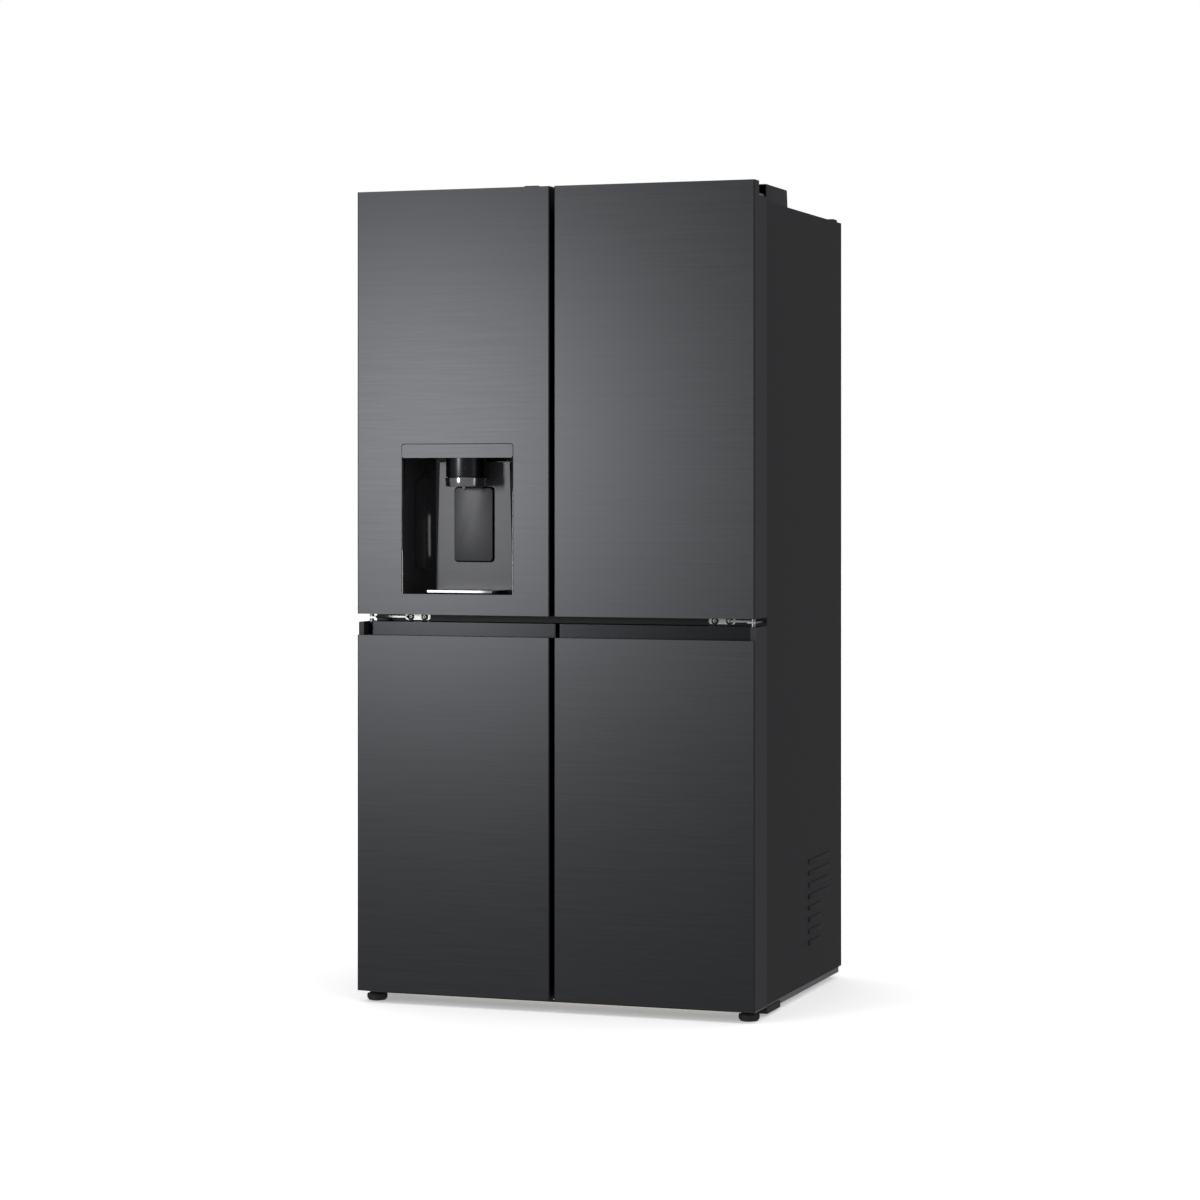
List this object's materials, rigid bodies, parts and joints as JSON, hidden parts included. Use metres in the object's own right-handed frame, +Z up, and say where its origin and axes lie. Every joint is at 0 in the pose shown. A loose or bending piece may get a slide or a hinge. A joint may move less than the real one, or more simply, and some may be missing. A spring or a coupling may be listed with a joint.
{
  "type": "french door refrigerator",
  "caption": "Tall dark steel refrigerator with paired upper doors, a recessed water and ice dispenser, paired lower freezer doors with pocket handles, shelves, bins and drawers.",
  "frame": {"origin": "on the floor under the middle of the overall box", "axes": "+Z up, the doors face -Y, +X to the right of somebody facing the doors"},
  "size_m": [0.914, 0.728, 1.793],
  "materials": {
    "painted_case": "satin dark charcoal paint",
    "galvanised_steel": "zinc coated sheet",
    "black_plastic": "fine grained",
    "insulation": "foamed",
    "white_liner": "satin moulded",
    "zinc_steel": "zinc plated",
    "shelf_glass": "clear tempered",
    "clear_plastic": "clear moulded plastic",
    "compressor_black": "gloss black enamel",
    "condenser_metal": "black enamelled tube and fins",
    "brass_fitting": "machined",
    "roller_plastic": "nylon",
    "dark_steel": "horizontally brushed dark stainless",
    "dispenser_black": "gloss",
    "nozzle_metal": "dark satin",
    "bright_ring": "polished",
    "cap_plastic": "fine grained",
    "gasket_rubber": "extruded",
    "bright_strip": "brushed"
  },
  "bodies": {
    "cabinet": {"outer_case": "painted_case", "back_panel": "galvanised_steel", "machine_cover": "galvanised_steel", "base_frame": "galvanised_steel", "rear_top_rail": "black_plastic", "base_grille": "black_plastic", "hinge_covers": "black_plastic", "cabinet_foam": "insulation", "fridge_liner": "white_liner", "freezer_liners": "white_liner", "air_ducts": "white_liner", "door_hinges": "zinc_steel", "lower_hinges": "zinc_steel", "hinge_screws": "zinc_steel", "glass_shelves": "shelf_glass", "compressor": "compressor_black", "condenser": "condenser_metal", "water_inlet_valve": "brass_fitting"},
    "door_upper_left": {"door_upper_left_skin": "dark_steel", "door_upper_left_caps": "cap_plastic", "door_upper_left_inner": "white_liner", "door_upper_left_gasket": "gasket_rubber", "door_upper_left_bins": "clear_plastic", "dispenser_panel": "dark_steel", "dispenser_housing": "dispenser_black", "dispenser_nozzle": "nozzle_metal", "nozzle_ring": "bright_ring", "drip_tray": "dispenser_black", "ice_maker": "white_liner"},
    "door_upper_right": {"door_upper_right_skin": "dark_steel", "door_upper_right_caps": "cap_plastic", "door_upper_right_inner": "white_liner", "door_upper_right_gasket": "gasket_rubber", "door_upper_right_bins": "clear_plastic"},
    "door_lower_left": {"door_lower_left_skin": "dark_steel", "door_lower_left_caps": "cap_plastic", "door_lower_left_inner": "white_liner", "door_lower_left_gasket": "gasket_rubber", "door_lower_left_handle_strip": "bright_strip"},
    "door_lower_right": {"door_lower_right_skin": "dark_steel", "door_lower_right_caps": "cap_plastic", "door_lower_right_inner": "white_liner", "door_lower_right_gasket": "gasket_rubber", "door_lower_right_handle_strip": "bright_strip"},
    "dispenser_paddle": {"dispenser_paddle": "dispenser_black"},
    "ice_door": {"ice_door": "white_liner"},
    "flap_mullion": {"flap_mullion": "white_liner"},
    "crisper_left": {"crisper_left": "clear_plastic"},
    "crisper_right": {"crisper_right": "clear_plastic"},
    "freezer_drawer_high_left": {"freezer_drawer_high_left": "clear_plastic"},
    "freezer_drawer_high_right": {"freezer_drawer_high_right": "clear_plastic"},
    "freezer_drawer_low_left": {"freezer_drawer_low_left": "clear_plastic"},
    "freezer_drawer_low_right": {"freezer_drawer_low_right": "clear_plastic"},
    "condenser_fan": {"condenser_fan": "black_plastic"},
    "levelling_foot_left": {"levelling_foot_left": "black_plastic"},
    "levelling_foot_right": {"levelling_foot_right": "black_plastic"},
    "rear_roller_left": {"rear_roller_left": "roller_plastic"},
    "rear_roller_right": {"rear_roller_right": "roller_plastic"}
  },
  "joints": [
    {"name": "door_upper_left_hinge", "type": "hinge", "parent": "cabinet", "child": "door_upper_left", "pos_m": [-0.441, -0.319, 0.848], "axis": [0, 0, -1], "range_deg": [0, 105]},
    {"name": "door_upper_right_hinge", "type": "hinge", "parent": "cabinet", "child": "door_upper_right", "pos_m": [0.441, -0.319, 0.848], "axis": [0, 0, 1], "range_deg": [0, 105]},
    {"name": "door_lower_left_hinge", "type": "hinge", "parent": "cabinet", "child": "door_lower_left", "pos_m": [-0.441, -0.319, 0.848], "axis": [0, 0, -1], "range_deg": [0, 105]},
    {"name": "door_lower_right_hinge", "type": "hinge", "parent": "cabinet", "child": "door_lower_right", "pos_m": [0.441, -0.319, 0.848], "axis": [0, 0, 1], "range_deg": [0, 105]},
    {"name": "crisper_left_slide", "type": "slide", "parent": "cabinet", "child": "crisper_left", "axis": [0, -1, 0], "range_m": [0, 0.19]},
    {"name": "crisper_right_slide", "type": "slide", "parent": "cabinet", "child": "crisper_right", "axis": [0, -1, 0], "range_m": [0, 0.19]},
    {"name": "freezer_drawer_high_left_slide", "type": "slide", "parent": "cabinet", "child": "freezer_drawer_high_left", "axis": [0, -1, 0], "range_m": [0, 0.19]},
    {"name": "freezer_drawer_high_right_slide", "type": "slide", "parent": "cabinet", "child": "freezer_drawer_high_right", "axis": [0, -1, 0], "range_m": [0, 0.19]},
    {"name": "freezer_drawer_low_left_slide", "type": "slide", "parent": "cabinet", "child": "freezer_drawer_low_left", "axis": [0, -1, 0], "range_m": [0, 0.19]},
    {"name": "freezer_drawer_low_right_slide", "type": "slide", "parent": "cabinet", "child": "freezer_drawer_low_right", "axis": [0, -1, 0], "range_m": [0, 0.19]},
    {"name": "dispenser_paddle_hinge", "type": "hinge", "parent": "door_upper_left", "child": "dispenser_paddle", "pos_m": [-0.22, -0.254, 1.1266], "axis": [1, 0, 0], "range_deg": [0, 4], "stiffness_Nm_per_rad": 0.5, "springref_deg": -8.59},
    {"name": "ice_door_hinge", "type": "hinge", "parent": "door_upper_left", "child": "ice_door", "pos_m": [-0.381, -0.1648, 1.367], "axis": [0, 0, 1], "range_deg": [0, 90]},
    {"name": "flap_mullion_hinge", "type": "hinge", "parent": "door_upper_left", "child": "flap_mullion", "pos_m": [-0.026, -0.252, 1.302], "axis": [0, 0, -1], "range_deg": [0, 90]},
    {"name": "condenser_fan_spin", "type": "hinge", "parent": "cabinet", "child": "condenser_fan", "pos_m": [-0.012, 0.201, 0.131], "axis": [1, 0, 0], "continuous": true},
    {"name": "levelling_foot_left_turn", "type": "hinge", "parent": "cabinet", "child": "levelling_foot_left", "pos_m": [-0.43, -0.314, 0.009], "axis": [0, 0, 1], "continuous": true},
    {"name": "rear_roller_left_spin", "type": "hinge", "parent": "cabinet", "child": "rear_roller_left", "pos_m": [-0.391, 0.276, 0.018], "axis": [1, 0, 0], "continuous": true},
    {"name": "levelling_foot_right_turn", "type": "hinge", "parent": "cabinet", "child": "levelling_foot_right", "pos_m": [0.43, -0.314, 0.009], "axis": [0, 0, 1], "continuous": true},
    {"name": "rear_roller_right_spin", "type": "hinge", "parent": "cabinet", "child": "rear_roller_right", "pos_m": [0.391, 0.276, 0.018], "axis": [1, 0, 0], "continuous": true}
  ],
  "couplings": [
    {"joint": "crisper_left_slide", "follows": "door_upper_left_hinge", "m_per_rad": 0.1},
    {"joint": "crisper_right_slide", "follows": "door_upper_right_hinge", "m_per_rad": 0.1},
    {"joint": "freezer_drawer_high_left_slide", "follows": "door_lower_left_hinge", "m_per_rad": 0.1},
    {"joint": "freezer_drawer_high_right_slide", "follows": "door_lower_right_hinge", "m_per_rad": 0.1},
    {"joint": "freezer_drawer_low_left_slide", "follows": "door_lower_left_hinge", "m_per_rad": 0.1},
    {"joint": "freezer_drawer_low_right_slide", "follows": "door_lower_right_hinge", "m_per_rad": 0.1}
  ]
}
